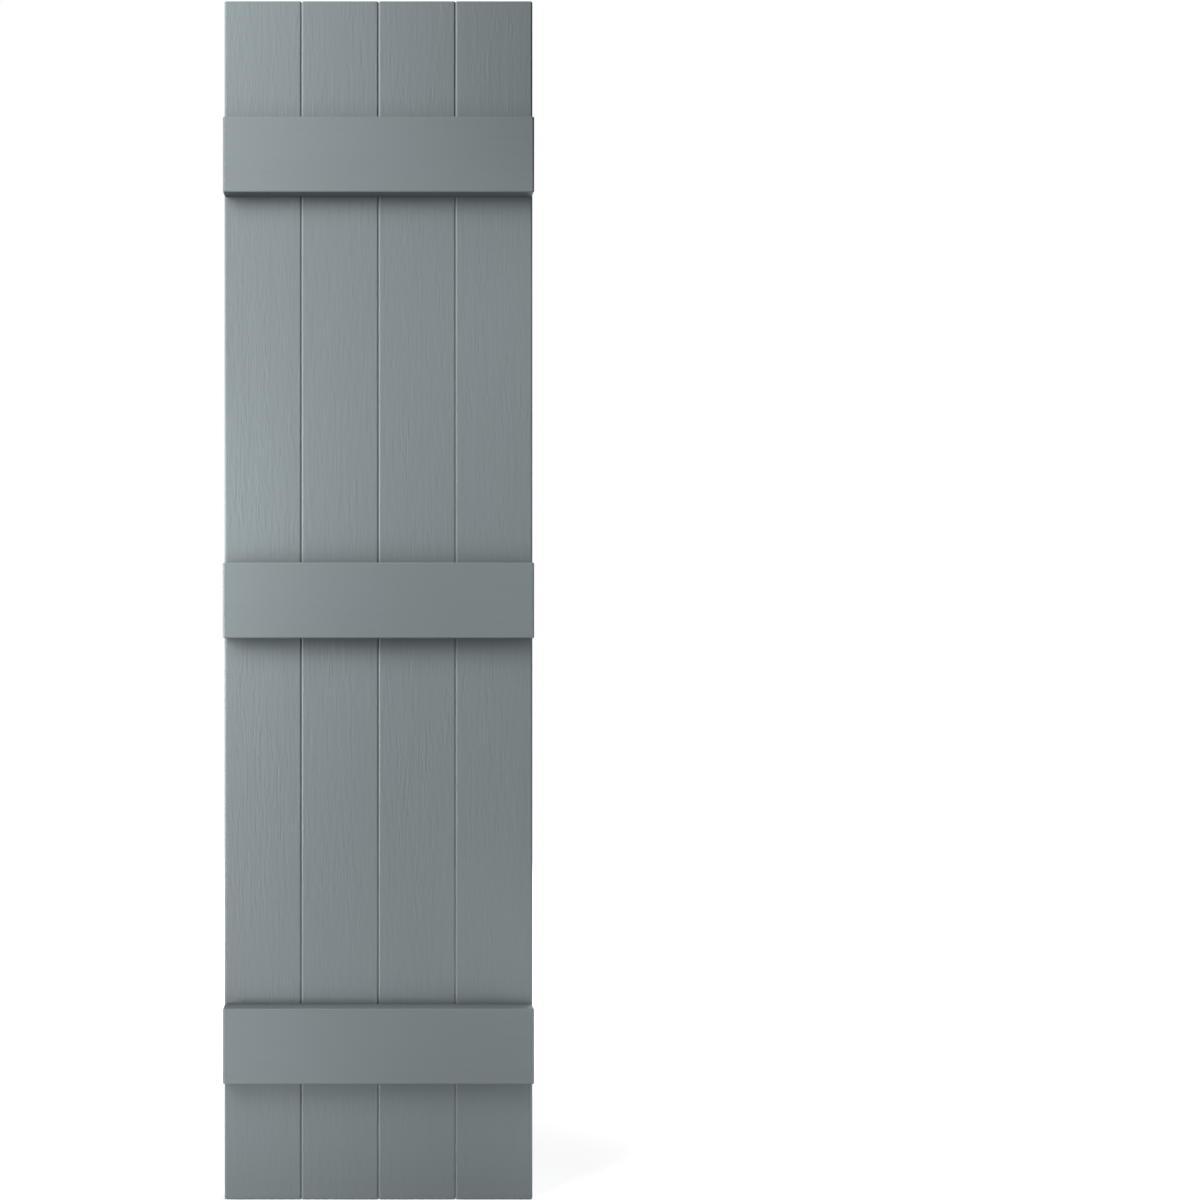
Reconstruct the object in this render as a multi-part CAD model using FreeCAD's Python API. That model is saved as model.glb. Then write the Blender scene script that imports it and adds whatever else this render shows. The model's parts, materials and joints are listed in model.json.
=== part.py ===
import FreeCAD, Part
import os

# A shutter of upright boards, joined edge to edge and held by level battens across their front.
# Millimetres. The flat back lies in the plane y = 0, with the origin at its centre.
# The front looks along -Y, and +Z is up.

# Boards, named from left to right as seen from the front
board_names = ["left_outer_board", "left_inner_board", "right_inner_board", "right_outer_board"]
board_width = 88.9
board_thickness = 19.05
board_length = 1384.3

# Battens, as wide as all the boards together
batten_width = 86.5
batten_thickness = 19.05

# From each end of the boards to the near edge of the batten there
batten_setback = 139.7

# Bevel on the upright front edges. Where two boards meet, it makes half of a V joint.
bevel_width = 2.0
bevel_depth = 1.2

# Radius on the front and side edges at the top and bottom of each board and batten
board_easing = 2.2
batten_easing = 1.6

shutter_width = board_width * len(board_names)
board_face = -board_thickness
batten_face = board_face - batten_thickness
board_top = board_length / 2
batten_height = board_top - batten_setback - batten_width / 2
batten_heights = {
    "top_batten": batten_height,
    "middle_batten": 0,
    "bottom_batten": -batten_height,
}


def lies_on(edge, axis, value):
    """Whether an edge lies in the plane where the given coordinate has this value."""
    return all(abs(vertex.Point[axis] - value) < 1e-6 for vertex in edge.Vertexes)


def bar(left, width, back, front, middle, length, easing):
    """An upright or level bar, bevelled on its upright front edges and eased at its top and bottom."""
    right = left + width
    top = middle + length / 2
    bottom = middle - length / 2
    corners = [
        (left, back),
        (right, back),
        (right, front + bevel_depth),
        (right - bevel_width, front),
        (left + bevel_width, front),
        (left, front + bevel_depth),
    ]
    points = [FreeCAD.Vector(x, y, bottom) for x, y in corners]
    section = Part.Face(Part.makePolygon(points + points[:1]))
    blank = section.extrude(FreeCAD.Vector(0, 0, length))
    eased_edges = [
        edge
        for edge in blank.Edges
        if (lies_on(edge, 2, top) or lies_on(edge, 2, bottom)) and not lies_on(edge, 1, back)
    ]
    return blank.makeFillet(easing, eased_edges)


os.makedirs("parts", exist_ok=True)
left_edge = -shutter_width / 2
for place, name in enumerate(board_names):
    board = bar(left_edge + place * board_width, board_width, 0, board_face, 0, board_length, board_easing)
    board.exportStep(f"parts/{name}.step")
for name, height in batten_heights.items():
    batten = bar(left_edge, shutter_width, board_face, batten_face, height, batten_width, batten_easing)
    batten.exportStep(f"parts/{name}.step")
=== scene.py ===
import json
import math

import bmesh
import bpy
from mathutils import Matrix, Vector


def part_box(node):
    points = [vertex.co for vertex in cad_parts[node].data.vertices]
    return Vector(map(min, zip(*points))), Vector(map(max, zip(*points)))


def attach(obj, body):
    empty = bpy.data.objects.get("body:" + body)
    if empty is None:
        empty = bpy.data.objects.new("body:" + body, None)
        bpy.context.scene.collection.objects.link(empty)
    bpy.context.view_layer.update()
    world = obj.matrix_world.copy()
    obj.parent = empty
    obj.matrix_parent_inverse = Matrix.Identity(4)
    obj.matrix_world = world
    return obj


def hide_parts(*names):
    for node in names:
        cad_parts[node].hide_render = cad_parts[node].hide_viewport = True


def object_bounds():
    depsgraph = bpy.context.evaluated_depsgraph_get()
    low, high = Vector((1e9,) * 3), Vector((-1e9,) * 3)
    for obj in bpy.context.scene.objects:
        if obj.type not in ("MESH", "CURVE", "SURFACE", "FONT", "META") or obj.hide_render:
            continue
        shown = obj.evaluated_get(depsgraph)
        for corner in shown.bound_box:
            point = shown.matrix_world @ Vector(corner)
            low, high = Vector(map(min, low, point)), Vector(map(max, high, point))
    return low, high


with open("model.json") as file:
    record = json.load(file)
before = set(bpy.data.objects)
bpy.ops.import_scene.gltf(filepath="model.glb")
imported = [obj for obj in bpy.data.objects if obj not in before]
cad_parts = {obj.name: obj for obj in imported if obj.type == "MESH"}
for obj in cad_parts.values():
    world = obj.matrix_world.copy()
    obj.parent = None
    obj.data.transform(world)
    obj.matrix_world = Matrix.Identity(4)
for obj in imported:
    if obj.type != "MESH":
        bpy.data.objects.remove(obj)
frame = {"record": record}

cad_low, cad_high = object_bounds()

# Sizes are in metres. The front of the shutter looks along -Y, and +Z is up.
MM = 0.001
X_AXIS = 0
Y_AXIS = 1
Z_AXIS = 2

# Boards and battens: the bevels on the upright front edges, which make the V joints, and the arrises
BEVEL_WIDTH = 2.0 * MM
BEVEL_DEPTH = 1.2 * MM
ARRIS_RADIUS = 0.4 * MM

# Boards: the eased ends, and the arrises on the back
BOARD_EASING = 2.2 * MM
BACK_ARRIS_RADIUS = 0.4 * MM

# Battens: the eased level edges, and the arrises that sit on the boards
BATTEN_EASING = 1.6 * MM
SEAT_ARRIS_RADIUS = 0.2 * MM

# Meshes: the facets of a rounded edge, the angle from which an edge is sharp, and how flat large faces look
ARC_STEPS = 5
SHARP_ANGLE = math.radians(40)
FLAT_FACE_WEIGHT = 100

# Countersunk screws, driven from the back through the boards into the battens
HEAD_RADIUS = 4.1 * MM
HEAD_RIM = 0.4 * MM
HEAD_HEIGHT = 2.6 * MM
SHANK_RADIUS = 1.9 * MM
POINT_RADIUS = 0.19 * MM
POINT_LENGTH = 5 * MM
SCREW_LENGTH = 32 * MM
HEAD_SUNK = 0.4 * MM
SINK_CLEARANCE = 0.3 * MM
SCREW_STEPS = 40

# The cross in a screw's head: its arms at the face of the head, its depth, and the share they lose over it
CROSS_ARMS = 4
CROSS_REACH = 2.2 * MM
CROSS_HALF_WIDTH = 0.55 * MM
CROSS_DEPTH = 1.6 * MM
CROSS_TAPER = 0.5

# The two screws of a board at each batten, on a slant about the middle
SCREW_ACROSS = 22 * MM
SCREW_UP = 19 * MM

# Paint: its mean linear colour, the share that it varies by, and its gloss
PAINT_COLOUR = (0.208, 0.2415, 0.2505)
PAINT_SPREAD = 0.012
PAINT_ROUGHNESS = (0.55, 0.67)
PAINT_SPECULAR = 0.2

# Painted shade: the paint is made darker where boards and battens meet, standing in for the shade in those
# corners: by how much in the corner, and how far that reaches.
# The slack takes in a batten's level faces, and leaves out its front and its ends.
PAINTED_CORNER_SHADE = 0.27
PAINTED_SHADE_REACH = 10 * MM
PAINTED_SHADE_SLACK = 0.1 * MM

# Wood under the paint: the sizes of its patterns across and along the grain, and their relief.
# The fibres show in patches, between two strengths.
GRAIN_SIZE = (3.0 * MM, 70 * MM)
GRAIN_RELIEF = 0.14 * MM
FIBRE_SIZE = (2.8 * MM, 20 * MM)
FIBRE_RELIEF = 0.5 * MM
PATCH_SIZE = (9 * MM, 45 * MM)
PATCH_STRENGTH = (0.15, 1)
PORE_SIZE = (0.45 * MM, 9 * MM)
PORE_RELIEF = 0.02 * MM

# Waves in the film of paint, along the grain too
FILM_SIZE = (22 * MM, 120 * MM)
FILM_RELIEF = 0.25 * MM

# How much of the grain and the fibres shows, and how far the patterns move from one piece to the next
BOARD_GRAIN = 1
BATTEN_GRAIN = 0.4
PIECE_SHIFT = Vector((3.7, 11.3, 7.9))

# Noise: its octaves past the first, and the range that most of it lies in
NOISE_DETAIL = 2
NOISE_RANGE = (0.3, 0.7)

# Zinc-plated steel
STEEL_COLOUR = (0.5, 0.49, 0.465)
STEEL_ROUGHNESS = (0.28, 0.45)
STEEL_GRAIN_SIZE = (0.6 * MM, 0.6 * MM)

# Camera: the photograph's frame in pixels, where the boards' middle lies in it, and a pixel's size there
IMAGE_SIZE = 1200
PHOTO_MIDDLE = (378.5, 600.35)
PHOTO_SCALE = 1.1543 * MM
CAMERA_DISTANCE = 1.647
SENSOR_WIDTH = 36.0

# Studio: what the floor and the surroundings show to the camera, and what they give to the object
WHITE = (1, 1, 1)
BLACK = (0, 0, 0)
FLOOR_REACH = 12.0
FLOOR_BOUNCE = 0.1
FLOOR_WHITE = 0.8
FLOOR_GLOW_NEAR = 0.5
FLOOR_FADE = (0.2, 0.9)
AMBIENT = 0.02

# Lamps: where each stands, the height on the shutter's middle line that it looks at, its width and length,
# its power, and the angle that its light spreads over, which a grid makes narrower
OPEN = math.radians(180)
WIDE_GRID = math.radians(110)
GRID = math.radians(80)
LAMPS = {
    "key_lamp": dict(place=(-0.8, -0.8, 0.9), aim=0.2, size=(0.45, 1.25), power=15.5, spread=OPEN),
    "side_lamp": dict(place=(-0.8, -0.5, 0.65), aim=0.65, size=(0.3, 0.6), power=2.3, spread=WIDE_GRID),
    "high_left_strip": dict(place=(-0.42, -0.22, 0.1), aim=0.1, size=(0.1, 0.6), power=0.27, spread=GRID),
    "left_strip": dict(place=(-0.42, -0.12, -0.1), aim=-0.1, size=(0.1, 0.6), power=0.53, spread=GRID),
    "low_left_lamp": dict(place=(-0.6, -0.45, -0.6), aim=-0.6, size=(0.1, 0.3), power=1.0, spread=GRID),
    "right_strip": dict(place=(0.32, -0.15, 0), aim=0, size=(0.1, 0.9), power=0.25, spread=GRID),
    "low_right_lamp": dict(place=(0.5, -0.15, -0.6), aim=-0.6, size=(0.1, 0.3), power=0.31, spread=GRID),
    "back_lamp": dict(place=(1.0, 1.6, 0.3), aim=0, size=(1.0, 1.4), power=43, spread=OPEN),
}


def nodes_of_slot(slot):
    """The names of the part's nodes in a material slot."""
    return [part["node"] for part in frame["record"]["subparts"] if part["material_slot"] == slot]


board_nodes = nodes_of_slot("board_paint")
batten_nodes = nodes_of_slot("batten_paint")
board_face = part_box(board_nodes[0])[0].y


# Shapes

def rounded_outline(corners):
    """A closed convex outline, as 2-D points, from (x, y, radius) corners with an arc at each."""
    sharp = [Vector((x, y)) for x, y, radius in corners]
    radii = [radius for x, y, radius in corners]
    points = []
    for place, (corner, radius) in enumerate(zip(sharp, radii)):
        to_last = (sharp[place - 1] - corner).normalized()
        to_next = (sharp[(place + 1) % len(sharp)] - corner).normalized()
        half_angle = to_last.angle(to_next) / 2
        run = radius / math.tan(half_angle)
        centre = corner + (to_last + to_next).normalized() * radius / math.sin(half_angle)
        start = corner + to_last * run - centre
        end = corner + to_next * run - centre
        first = math.atan2(start.y, start.x)
        turn = -start.angle_signed(end)
        for step in range(ARC_STEPS + 1):
            angle = first + turn * step / ARC_STEPS
            points.append(centre + radius * Vector((math.cos(angle), math.sin(angle))))
    return points


def eased_stations(low, high, radius):
    """Places along a bar, each with how far its faces draw in there to round the bar's ends."""
    stations = []
    for step in range(ARC_STEPS + 1):
        turn = math.pi / 2 * step / ARC_STEPS
        stations.append((radius * (1 - math.cos(turn)), radius * (1 - math.sin(turn))))
    near_end = [(low + along, draw) for along, draw in stations]
    far_end = [(high - along, draw) for along, draw in reversed(stations)]
    return near_end + far_end


def loft(rings):
    """A closed mesh through rings of points, with flat ends."""
    shape = bmesh.new()
    loops = [[shape.verts.new(point) for point in ring] for ring in rings]
    for lower, upper in zip(loops, loops[1:]):
        for here in range(len(lower)):
            after = (here + 1) % len(lower)
            shape.faces.new((lower[here], lower[after], upper[after], upper[here]))
    shape.faces.new(loops[0])
    shape.faces.new(loops[-1])
    bmesh.ops.recalc_face_normals(shape, faces=shape.faces)
    return shape


def add_mesh(shape, addition):
    """Move one mesh into another."""
    copy = bpy.data.meshes.new("copy")
    addition.to_mesh(copy)
    addition.free()
    shape.from_mesh(copy)
    bpy.data.meshes.remove(copy)


def mesh_object(shape, name):
    """An object in the scene that holds a finished mesh."""
    mesh = bpy.data.meshes.new(name)
    shape.to_mesh(mesh)
    shape.free()
    made = bpy.data.objects.new(name, mesh)
    bpy.context.scene.collection.objects.link(made)
    return made


def cut(piece, cutter):
    """Cut a shape out of a piece for good."""
    cutting = piece.modifiers.new("cutting", "BOOLEAN")
    cutting.operation = "DIFFERENCE"
    cutting.solver = "EXACT"
    cutting.object = cutter
    bpy.context.view_layer.update()
    seen = piece.evaluated_get(bpy.context.evaluated_depsgraph_get())
    mesh = bpy.data.meshes.new_from_object(seen)
    piece.modifiers.remove(cutting)
    piece.data = mesh
    bpy.data.objects.remove(cutter)


def dress(piece, material):
    """Finish a piece: its material, its shading and the body that it rides on."""
    piece.data.materials.clear()
    piece.data.materials.append(material)
    piece.data.shade_smooth()
    piece.data.set_sharp_from_angle(angle=SHARP_ANGLE)
    flat_faces = piece.modifiers.new("flat_faces", "WEIGHTED_NORMAL")
    flat_faces.weight = FLAT_FACE_WEIGHT
    flat_faces.keep_sharp = True
    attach(piece, "root")


def bar_section(low, high, draw, back_arris):
    """A board's or batten's outline seen from above, with its faces drawn in."""
    left = low.x + draw
    right = high.x - draw
    front = low.y + draw
    back = high.y - min(draw, back_arris)
    # The bevel draws in as far as the faces do, so its ends move along them
    slope = math.hypot(BEVEL_WIDTH, BEVEL_DEPTH)
    bevel_start = low.y + BEVEL_DEPTH + draw * (slope - BEVEL_DEPTH) / BEVEL_WIDTH
    bevel_run = BEVEL_WIDTH + draw * (slope - BEVEL_WIDTH) / BEVEL_DEPTH
    return rounded_outline([
        (left, back, back_arris),
        (right, back, back_arris),
        (right, bevel_start, ARRIS_RADIUS),
        (high.x - bevel_run, front, ARRIS_RADIUS),
        (low.x + bevel_run, front, ARRIS_RADIUS),
        (left, bevel_start, ARRIS_RADIUS),
    ])


def bar_shape(node, easing, back_arris):
    """A board or batten, bevelled on its upright front edges and eased at its top and bottom."""
    low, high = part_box(node)
    rings = []
    for height, draw in eased_stations(low.z, high.z, easing):
        section = bar_section(low, high, draw, back_arris)
        rings.append([(point.x, point.y, height) for point in section])
    return loft(rings)


def add_turned(shape, place, profile):
    """Add a shape turned about a line along Y through a place, from (radius, depth) points."""
    rings = []
    for radius, depth in profile:
        ring = []
        for step in range(SCREW_STEPS):
            angle = 2 * math.pi * step / SCREW_STEPS
            offset = Vector((radius * math.cos(angle), -depth, radius * math.sin(angle)))
            ring.append(place + offset)
        rings.append(ring)
    add_mesh(shape, loft(rings))


def add_cross(shape, place):
    """Add the tapered cross that is pressed into a screw's head, from as far outside as it goes in."""
    rings = []
    for side in (-1, 1):
        depth = side * CROSS_DEPTH
        reach = CROSS_REACH * (1 - side * CROSS_TAPER)
        arm = [
            (reach, -CROSS_HALF_WIDTH),
            (reach, CROSS_HALF_WIDTH),
            (CROSS_HALF_WIDTH, CROSS_HALF_WIDTH),
        ]
        ring = []
        for number in range(CROSS_ARMS):
            turn = Matrix.Rotation(2 * math.pi * number / CROSS_ARMS, 2)
            for corner in arm:
                across, up = turn @ Vector(corner)
                ring.append(place + Vector((across, -depth, up)))
        rings.append(ring)
    add_mesh(shape, loft(rings))


def screw_places(board, batten):
    """Where the two screws of a board enter its back, behind a batten."""
    board_low, board_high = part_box(board)
    batten_low, batten_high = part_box(batten)
    middle = Vector((board_low + board_high) / 2)
    middle.y = board_high.y
    middle.z = (batten_low.z + batten_high.z) / 2
    slant = Vector((SCREW_ACROSS, 0, SCREW_UP))
    return [middle - slant, middle + slant]


def sink_shape(board):
    """The countersinks in the back of a board."""
    shape = bmesh.new()
    profile = [
        (HEAD_RADIUS + SINK_CLEARANCE, -HEAD_SUNK),
        (HEAD_RADIUS + SINK_CLEARANCE, HEAD_SUNK + HEAD_RIM),
        (SHANK_RADIUS, HEAD_SUNK + HEAD_RIM + HEAD_HEIGHT),
    ]
    for batten in batten_nodes:
        for place in screw_places(board, batten):
            add_turned(shape, place, profile)
    return shape


# Materials

def new_material(name):
    """A material with only its shader, as (material, node tree, shader)."""
    material = bpy.data.materials.new(name)
    material.use_nodes = True
    tree = material.node_tree
    return material, tree, tree.nodes["Principled BSDF"]


def shade_of(colour, factor):
    """A linear colour made darker or lighter by a factor, with its alpha."""
    return [channel * factor for channel in colour] + [1]


def calculate(tree, operation, first, second=0):
    """A calculation with two values, each of them a number or a node's output."""
    node = tree.nodes.new("ShaderNodeMath")
    node.operation = operation
    for socket, value in zip(node.inputs, (first, second)):
        if isinstance(value, bpy.types.NodeSocket):
            tree.links.new(value, socket)
        else:
            socket.default_value = value
    return node.outputs["Value"]


def mixed(tree, first, second, share):
    """A mix of two colours, each of them a colour or a node's output, with a share of the second."""
    mix = tree.nodes.new("ShaderNodeMix")
    mix.data_type = "RGBA"
    for socket, colour in ((mix.inputs["A"], first), (mix.inputs["B"], second)):
        if isinstance(colour, bpy.types.NodeSocket):
            tree.links.new(colour, socket)
        else:
            socket.default_value = colour
    tree.links.new(share, mix.inputs["Factor"])
    return mix.outputs["Result"]


def stretched_noise(tree, size, grain_axis, shift):
    """Noise in the object's own coordinates, as wide across the grain and as long along it as asked."""
    across, along = size
    scale = [1 / across, 1 / across, 1 / across]
    scale[grain_axis] = 1 / along
    coordinates = tree.nodes.new("ShaderNodeTexCoord")
    mapping = tree.nodes.new("ShaderNodeMapping")
    mapping.inputs["Location"].default_value = shift
    mapping.inputs["Scale"].default_value = scale
    noise = tree.nodes.new("ShaderNodeTexNoise")
    noise.inputs["Scale"].default_value = 1
    noise.inputs["Detail"].default_value = NOISE_DETAIL
    tree.links.new(coordinates.outputs["Object"], mapping.inputs["Vector"])
    tree.links.new(mapping.outputs["Vector"], noise.inputs["Vector"])
    return noise.outputs["Fac"]


def spread_over(tree, noise, limits):
    """The range that most of a noise lies in, spread between two limits."""
    spread = tree.nodes.new("ShaderNodeMapRange")
    spread.inputs["From Min"].default_value, spread.inputs["From Max"].default_value = NOISE_RANGE
    spread.inputs["To Min"].default_value, spread.inputs["To Max"].default_value = limits
    tree.links.new(noise, spread.inputs["Value"])
    return spread.outputs["Result"]


def relief(tree, height, distance, under=None, strength=None):
    """A bump of a real height, over another one and of uneven strength where these are given."""
    bump = tree.nodes.new("ShaderNodeBump")
    bump.inputs["Distance"].default_value = distance
    tree.links.new(height, bump.inputs["Height"])
    if under:
        tree.links.new(under, bump.inputs["Normal"])
    if strength:
        tree.links.new(strength, bump.inputs["Strength"])
    return bump.outputs["Normal"]


def painted_corner_shade(tree):
    """How much painted shade darkens the paint, by its distance from the corners between the boards and the
    battens.
    """
    coordinates = tree.nodes.new("ShaderNodeTexCoord")
    place = tree.nodes.new("ShaderNodeSeparateXYZ")
    tree.links.new(coordinates.outputs["Object"], place.inputs["Vector"])
    beside_batten = cad_high.z - cad_low.z
    for node in batten_nodes:
        low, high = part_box(node)
        above = calculate(tree, "SUBTRACT", place.outputs["Z"], high.z)
        below = calculate(tree, "SUBTRACT", low.z, place.outputs["Z"])
        outside = calculate(tree, "MAXIMUM", above, below)
        beside_batten = calculate(tree, "MINIMUM", beside_batten, outside)
    off_board = calculate(tree, "SUBTRACT", board_face, place.outputs["Y"])
    shade = PAINTED_CORNER_SHADE
    # The boards' bevels lie behind their face, so the slack there is the bevels' depth
    for gap, slack in ((beside_batten, PAINTED_SHADE_SLACK), (off_board, BEVEL_DEPTH)):
        distance = calculate(tree, "MAXIMUM", gap, 0)
        fade = calculate(tree, "EXPONENT", calculate(tree, "DIVIDE", distance, -PAINTED_SHADE_REACH))
        on_face = calculate(tree, "GREATER_THAN", gap, -slack)
        shade = calculate(tree, "MULTIPLY", shade, calculate(tree, "MULTIPLY", fade, on_face))
    return shade


def painted_wood(name, grain_axis, number, grain_share):
    """Satin paint on planed wood: fibres, pores and the paint's own film show in the light, and painted
    shade darkens it beside the battens.
    """
    material, tree, shader = new_material(name)
    shift = PIECE_SHIFT * number
    grain = stretched_noise(tree, GRAIN_SIZE, grain_axis, shift)
    fibres = stretched_noise(tree, FIBRE_SIZE, grain_axis, shift)
    patches = stretched_noise(tree, PATCH_SIZE, grain_axis, shift)
    pores = stretched_noise(tree, PORE_SIZE, grain_axis, shift)
    film = stretched_noise(tree, FILM_SIZE, grain_axis, shift)

    dark = shade_of(PAINT_COLOUR, 1 - PAINT_SPREAD)
    light = shade_of(PAINT_COLOUR, 1 + PAINT_SPREAD)
    tone = mixed(tree, dark, light, spread_over(tree, grain, (0, 1)))
    # Painted shade: the paint darkens towards the corners between the boards and the battens, where shade
    # falls
    colour = mixed(tree, tone, shade_of(BLACK, 1), painted_corner_shade(tree))
    tree.links.new(colour, shader.inputs["Base Color"])
    tree.links.new(spread_over(tree, film, PAINT_ROUGHNESS), shader.inputs["Roughness"])
    shader.inputs["Specular IOR Level"].default_value = PAINT_SPECULAR

    normal = relief(tree, film, FILM_RELIEF)
    normal = relief(tree, grain, GRAIN_RELIEF * grain_share, normal)
    strength = spread_over(tree, patches, PATCH_STRENGTH)
    normal = relief(tree, fibres, FIBRE_RELIEF * grain_share, normal, strength)
    normal = relief(tree, pores, PORE_RELIEF, normal)
    tree.links.new(normal, shader.inputs["Normal"])
    return material


def plated_steel(name):
    """Zinc-plated steel, a little dull and uneven."""
    material, tree, shader = new_material(name)
    grain = stretched_noise(tree, STEEL_GRAIN_SIZE, Y_AXIS, Vector())
    tree.links.new(spread_over(tree, grain, STEEL_ROUGHNESS), shader.inputs["Roughness"])
    shader.inputs["Base Color"].default_value = shade_of(STEEL_COLOUR, 1)
    shader.inputs["Metallic"].default_value = 1
    return material


# The object

def boards():
    """The upright boards, with countersinks for the screws in their backs."""
    for number, node in enumerate(board_nodes):
        shape = bar_shape(node, BOARD_EASING, BACK_ARRIS_RADIUS)
        board = mesh_object(shape, node + "_painted")
        cut(board, mesh_object(sink_shape(node), "sinks"))
        paint = painted_wood(node + "_paint", Z_AXIS, number, BOARD_GRAIN)
        dress(board, paint)
        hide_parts(node)


def battens():
    """The level battens across the front of the boards."""
    for number, node in enumerate(batten_nodes, len(board_nodes)):
        shape = bar_shape(node, BATTEN_EASING, SEAT_ARRIS_RADIUS)
        batten = mesh_object(shape, node + "_painted")
        paint = painted_wood(node + "_paint", X_AXIS, number, BATTEN_GRAIN)
        dress(batten, paint)
        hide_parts(node)


def screws():
    """The screws on the back, with those of each batten as one piece."""
    steel = plated_steel("screw_steel")
    profile = [
        (HEAD_RADIUS, HEAD_SUNK),
        (HEAD_RADIUS, HEAD_SUNK + HEAD_RIM),
        (SHANK_RADIUS, HEAD_SUNK + HEAD_RIM + HEAD_HEIGHT),
        (SHANK_RADIUS, SCREW_LENGTH - POINT_LENGTH),
        (POINT_RADIUS, SCREW_LENGTH),
    ]
    for batten in batten_nodes:
        shape = bmesh.new()
        crosses = bmesh.new()
        for board in board_nodes:
            for place in screw_places(board, batten):
                add_turned(shape, place, profile)
                add_cross(crosses, place - Vector((0, HEAD_SUNK, 0)))
        piece = mesh_object(shape, batten + "_screws")
        cut(piece, mesh_object(crosses, "crosses"))
        dress(piece, steel)


# The studio

def seen_rays(tree):
    """1 for the rays that show the surroundings: to the camera, in gloss and through glass."""
    path = tree.nodes.new("ShaderNodeLightPath")
    seen = path.outputs["Is Camera Ray"]
    for kind in ("Is Glossy Ray", "Is Transmission Ray"):
        seen = calculate(tree, "MAXIMUM", seen, path.outputs[kind])
    return seen


def diffuse(tree, brightness):
    """A matt neutral surface."""
    shader = tree.nodes.new("ShaderNodeBsdfDiffuse")
    shader.inputs["Color"].default_value = shade_of(WHITE, brightness)
    return shader.outputs["BSDF"]


def floor_glow(tree):
    """A glow that makes the floor white, and is weaker near the object, where its shadow shows."""
    coordinates = tree.nodes.new("ShaderNodeTexCoord")
    distance = tree.nodes.new("ShaderNodeVectorMath")
    distance.operation = "LENGTH"
    fade = tree.nodes.new("ShaderNodeMapRange")
    fade.interpolation_type = "SMOOTHSTEP"
    fade.inputs["From Min"].default_value, fade.inputs["From Max"].default_value = FLOOR_FADE
    fade.inputs["To Min"].default_value = FLOOR_GLOW_NEAR
    fade.inputs["To Max"].default_value = 1
    glow = tree.nodes.new("ShaderNodeEmission")
    tree.links.new(coordinates.outputs["Object"], distance.inputs[0])
    tree.links.new(distance.outputs["Value"], fade.inputs["Value"])
    tree.links.new(fade.outputs["Result"], glow.inputs["Strength"])
    return glow.outputs["Emission"]


def floor_material():
    """A white floor that keeps the object's shadow, and gives the object only a dim bounce."""
    material, tree, shader = new_material("floor")
    tree.nodes.remove(shader)
    white = tree.nodes.new("ShaderNodeAddShader")
    tree.links.new(diffuse(tree, FLOOR_WHITE), white.inputs[0])
    tree.links.new(floor_glow(tree), white.inputs[1])
    choice = tree.nodes.new("ShaderNodeMixShader")
    tree.links.new(seen_rays(tree), choice.inputs["Fac"])
    tree.links.new(diffuse(tree, FLOOR_BOUNCE), choice.inputs[1])
    tree.links.new(white.outputs["Shader"], choice.inputs[2])
    tree.links.new(choice.outputs["Shader"], tree.nodes["Material Output"].inputs["Surface"])
    return material


def floor():
    """A level floor at the foot of the shutter."""
    shape = bmesh.new()
    bmesh.ops.create_grid(shape, x_segments=1, y_segments=1, size=FLOOR_REACH)
    made = mesh_object(shape, "floor")
    made.location.z = cad_low.z
    made.data.materials.append(floor_material())


def surroundings():
    """White to the camera, and a dim even light on the object."""
    world = bpy.data.worlds.new("studio")
    world.use_nodes = True
    tree = world.node_tree
    background = tree.nodes["Background"]
    background.inputs["Color"].default_value = shade_of(WHITE, 1)
    strength = tree.nodes.new("ShaderNodeMapRange")
    strength.inputs["To Min"].default_value = AMBIENT
    strength.inputs["To Max"].default_value = 1
    tree.links.new(seen_rays(tree), strength.inputs["Value"])
    tree.links.new(strength.outputs["Result"], background.inputs["Strength"])
    bpy.context.scene.world = world


def lamp(name, place, aim, size, power, spread):
    """A soft rectangular lamp that the camera doesn't see."""
    data = bpy.data.lights.new(name, "AREA")
    data.shape = "RECTANGLE"
    data.size, data.size_y = size
    data.energy = power
    data.spread = spread
    made = bpy.data.objects.new(name, data)
    made.location = place
    towards = Vector((0, 0, aim)) - Vector(place)
    made.rotation_euler = towards.to_track_quat("-Z", "Y").to_euler()
    made.visible_camera = False
    bpy.context.scene.collection.objects.link(made)


def camera():
    """The photograph's camera: level, in front of the middle, with its frame moved to the right."""
    middle_x, middle_y = PHOTO_MIDDLE
    data = bpy.data.cameras.new("camera")
    data.sensor_width = SENSOR_WIDTH
    data.lens = SENSOR_WIDTH * CAMERA_DISTANCE / (IMAGE_SIZE * PHOTO_SCALE)
    data.shift_x = (IMAGE_SIZE / 2 - middle_x) / IMAGE_SIZE
    data.shift_y = (middle_y - IMAGE_SIZE / 2) / IMAGE_SIZE
    made = bpy.data.objects.new("camera", data)
    made.location = (0, board_face - CAMERA_DISTANCE, 0)
    made.rotation_euler = (math.pi / 2, 0, 0)
    bpy.context.scene.collection.objects.link(made)
    bpy.context.scene.camera = made


boards()
battens()
screws()
floor()
surroundings()
camera()
for lamp_name, settings in LAMPS.items():
    lamp(lamp_name, **settings)

bpy.context.scene.view_settings.view_transform = "Standard"
